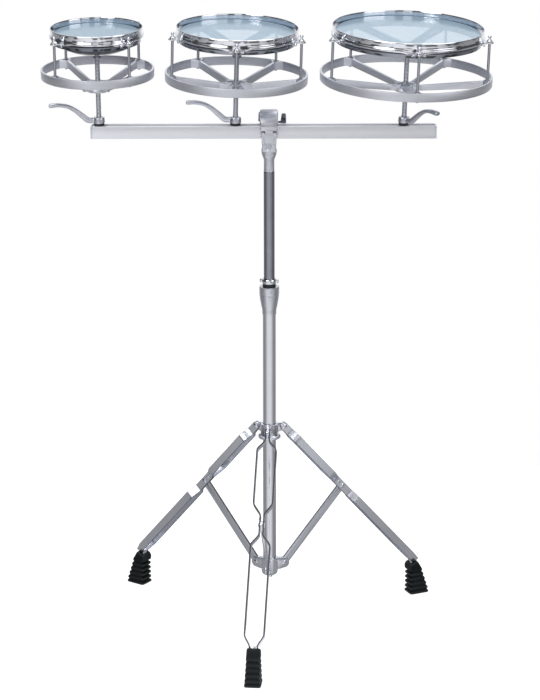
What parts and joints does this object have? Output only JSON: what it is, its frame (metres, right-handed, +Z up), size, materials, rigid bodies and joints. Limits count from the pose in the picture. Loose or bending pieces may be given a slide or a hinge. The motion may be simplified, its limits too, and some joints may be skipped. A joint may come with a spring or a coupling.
{
  "type": "rototom set on a three-legged stand",
  "caption": "Set of shell-less tunable drums on one horizontal rail, clamped to a telescopic chromed stand with folding double-strip legs and rubber feet.",
  "frame": {"origin": "centre of the bounding box in plan, on the floor under the feet", "axes": "+X along the rail towards the largest drum, +Y away from the player, +Z up"},
  "size_m": [0.7732, 0.5102, 1.0913],
  "materials": {
    "chrome": "polished",
    "satin_metal": "satin",
    "lever_metal": "satin, slightly violet",
    "leg_steel": "plated, half bright",
    "black_plastic": "matt",
    "boot_rubber": "matt",
    "drum_film": "clear polyester film with a blue tint, smooth"
  },
  "bodies": {
    "stand": {"lower_tube": "chrome", "lower_hub": "leg_steel", "tube_collar": "satin_metal"},
    "leg_hub": {"leg_hub": "leg_steel"},
    "leg_hub_screw": {"leg_hub_screw": "chrome"},
    "leg_front": {"leg_front": "leg_steel", "boot_front": "boot_rubber"},
    "strut_front": {"strut_front": "leg_steel"},
    "leg_left": {"leg_left": "leg_steel", "boot_left": "boot_rubber"},
    "strut_left": {"strut_left": "leg_steel"},
    "leg_right": {"leg_right": "leg_steel", "boot_right": "boot_rubber"},
    "strut_right": {"strut_right": "leg_steel"},
    "collar_screw": {"collar_screw": "chrome"},
    "collar_bush": {"collar_bush": "black_plastic"},
    "mast": {"upper_tube": "chrome", "memory_lock": "leg_steel", "clamp_body": "satin_metal"},
    "clamp_jaw": {"clamp_jaw": "chrome"},
    "clamp_bolt": {"clamp_bolt": "leg_steel"},
    "clamp_wing_nut": {"clamp_wing_nut": "chrome"},
    "rail": {"rail": "satin_metal", "rail_cap_left": "satin_metal", "rail_cap_right": "satin_metal"},
    "post_6": {"post_6": "leg_steel", "washer_6": "black_plastic"},
    "lever_6": {"lever_nut_6": "lever_metal"},
    "drum_frame_6": {"frame_6": "chrome"},
    "drum_ring_6": {"tuning_ring_6": "satin_metal", "hoop_6": "chrome", "head_6": "drum_film", "tension_rod_6_1": "chrome", "tension_rod_6_2": "chrome", "tension_rod_6_3": "chrome", "tension_rod_6_4": "chrome"},
    "post_8": {"post_8": "leg_steel", "washer_8": "black_plastic"},
    "lever_8": {"lever_nut_8": "lever_metal"},
    "drum_frame_8": {"frame_8": "chrome"},
    "drum_ring_8": {"tuning_ring_8": "satin_metal", "hoop_8": "chrome", "head_8": "drum_film", "tension_rod_8_1": "chrome", "tension_rod_8_2": "chrome", "tension_rod_8_3": "chrome", "tension_rod_8_4": "chrome", "tension_rod_8_5": "chrome"},
    "post_10": {"post_10": "leg_steel", "washer_10": "black_plastic"},
    "lever_10": {"lever_nut_10": "lever_metal"},
    "drum_frame_10": {"frame_10": "chrome"},
    "drum_ring_10": {"tuning_ring_10": "satin_metal", "hoop_10": "chrome", "head_10": "drum_film", "tension_rod_10_1": "chrome", "tension_rod_10_2": "chrome", "tension_rod_10_3": "chrome", "tension_rod_10_4": "chrome", "tension_rod_10_5": "chrome"}
  },
  "joints": [
    {"name": "leg_hub_slide", "type": "slide", "parent": "stand", "child": "leg_hub", "axis": [0, 0, 1], "range_m": [0, 0.083]},
    {"name": "leg_hub_screw_turn", "type": "hinge", "parent": "leg_hub", "child": "leg_hub_screw", "pos_m": [0.00565, 0.07887, 0.3617], "axis": [0.0958, 0.9954, 0], "range_deg": [0, 180]},
    {"name": "leg_front_fold", "type": "hinge", "parent": "leg_hub", "child": "leg_front", "pos_m": [0.00121, 0.03279, 0.3617], "axis": [0.9954, -0.0958, 0], "range_deg": [0, 33.4]},
    {"name": "strut_front_fold", "type": "hinge", "parent": "stand", "child": "strut_front", "pos_m": [0.00121, 0.03279, 0.10216], "axis": [0.9954, -0.0958, 0], "range_deg": [-33.4, 0]},
    {"name": "leg_left_fold", "type": "hinge", "parent": "leg_hub", "child": "leg_left", "pos_m": [-0.01847, 0.07597, 0.3617], "axis": [-0.5807, -0.8141, 0], "range_deg": [0, 33.4]},
    {"name": "strut_left_fold", "type": "hinge", "parent": "stand", "child": "strut_left", "pos_m": [-0.01847, 0.07597, 0.10216], "axis": [-0.5807, -0.8141, 0], "range_deg": [-33.4, 0]},
    {"name": "leg_right_fold", "type": "hinge", "parent": "leg_hub", "child": "leg_right", "pos_m": [0.02877, 0.07142, 0.3617], "axis": [-0.4147, 0.91, 0], "range_deg": [0, 33.4]},
    {"name": "strut_right_fold", "type": "hinge", "parent": "stand", "child": "strut_right", "pos_m": [0.02877, 0.07142, 0.10216], "axis": [-0.4147, 0.91, 0], "range_deg": [-33.4, 0]},
    {"name": "collar_screw_turn", "type": "hinge", "parent": "stand", "child": "collar_screw", "pos_m": [0.00384, 0.08246, 0.61], "axis": [0, 1, 0], "range_deg": [0, 180]},
    {"name": "mast_turn", "type": "hinge", "parent": "stand", "child": "collar_bush", "pos_m": [0.00384, 0.06006, 0.61], "axis": [0, 0, 1], "continuous": true},
    {"name": "mast_slide", "type": "slide", "parent": "collar_bush", "child": "mast", "axis": [0, 0, 1], "range_m": [0, 0.14]},
    {"name": "jaw_open", "type": "hinge", "parent": "mast", "child": "clamp_jaw", "pos_m": [0.00384, 0.04306, 0.902], "axis": [1, 0, 0], "range_deg": [0, 22]},
    {"name": "bolt_swing", "type": "hinge", "parent": "mast", "child": "clamp_bolt", "pos_m": [0.00384, 0.08756, 0.893], "axis": [1, 0, 0], "range_deg": [-85, 0]},
    {"name": "wing_nut_back_off", "type": "slide", "parent": "clamp_bolt", "child": "clamp_wing_nut", "axis": [0, 0, 1], "range_m": [0, 0.017]},
    {"name": "rail_slide", "type": "slide", "parent": "mast", "child": "rail", "axis": [1, 0, 0], "range_m": [-0.09, 0.025]},
    {"name": "drum_6_slide", "type": "slide", "parent": "rail", "child": "post_6", "axis": [1, 0, 0], "range_m": [-0.0025, 0.007]},
    {"name": "lever_6_turn", "type": "hinge", "parent": "post_6", "child": "lever_6", "pos_m": [-0.28816, 0.06006, 0.9147], "axis": [-0.0122, 0, 0.9999], "range_deg": [-90, 90]},
    {"name": "drum_6_turn", "type": "hinge", "parent": "post_6", "child": "drum_frame_6", "pos_m": [-0.28816, 0.06006, 0.9147], "axis": [-0.0122, 0, 0.9999], "range_deg": [-180, 360]},
    {"name": "drum_6_climb", "type": "slide", "parent": "drum_frame_6", "child": "drum_ring_6", "axis": [-0.0122, 0, 0.9999], "range_m": [-0.00076, 0.00151]},
    {"name": "drum_8_slide", "type": "slide", "parent": "rail", "child": "post_8", "axis": [1, 0, 0], "range_m": [-0.007, 0.007]},
    {"name": "lever_8_turn", "type": "hinge", "parent": "post_8", "child": "lever_8", "pos_m": [-0.05416, 0.06006, 0.9147], "axis": [0.0262, 0, 0.9997], "range_deg": [-90, 90]},
    {"name": "drum_8_turn", "type": "hinge", "parent": "post_8", "child": "drum_frame_8", "pos_m": [-0.05416, 0.06006, 0.9147], "axis": [0.0262, 0, 0.9997], "range_deg": [-180, 360]},
    {"name": "drum_8_climb", "type": "slide", "parent": "drum_frame_8", "child": "drum_ring_8", "axis": [0.0262, 0, 0.9997], "range_m": [-0.00076, 0.00151]},
    {"name": "drum_10_slide", "type": "slide", "parent": "rail", "child": "post_10", "axis": [1, 0, 0], "range_m": [-0.007, 0.04]},
    {"name": "lever_10_turn", "type": "hinge", "parent": "post_10", "child": "lever_10", "pos_m": [0.23534, 0.06006, 0.9147], "axis": [0.0366, 0, 0.9993], "range_deg": [-90, 90]},
    {"name": "drum_10_turn", "type": "hinge", "parent": "post_10", "child": "drum_frame_10", "pos_m": [0.23534, 0.06006, 0.9147], "axis": [0.0366, 0, 0.9993], "range_deg": [-180, 360]},
    {"name": "drum_10_climb", "type": "slide", "parent": "drum_frame_10", "child": "drum_ring_10", "axis": [0.0366, 0, 0.9993], "range_m": [-0.00076, 0.00151]}
  ],
  "couplings": [
    {"joint": "leg_front_fold", "follows": "leg_hub_slide", "rad_per_m": 7.0155},
    {"joint": "strut_front_fold", "follows": "leg_hub_slide", "rad_per_m": -7.0155},
    {"joint": "leg_left_fold", "follows": "leg_hub_slide", "rad_per_m": 7.0155},
    {"joint": "strut_left_fold", "follows": "leg_hub_slide", "rad_per_m": -7.0155},
    {"joint": "leg_right_fold", "follows": "leg_hub_slide", "rad_per_m": 7.0155},
    {"joint": "strut_right_fold", "follows": "leg_hub_slide", "rad_per_m": -7.0155},
    {"joint": "bolt_swing", "follows": "jaw_open", "ratio": -3.8632},
    {"joint": "wing_nut_back_off", "follows": "jaw_open", "m_per_rad": 0.04427},
    {"joint": "drum_6_climb", "follows": "drum_6_turn", "m_per_rad": 0.00023873},
    {"joint": "drum_8_climb", "follows": "drum_8_turn", "m_per_rad": 0.00023873},
    {"joint": "drum_10_climb", "follows": "drum_10_turn", "m_per_rad": 0.00023873}
  ]
}
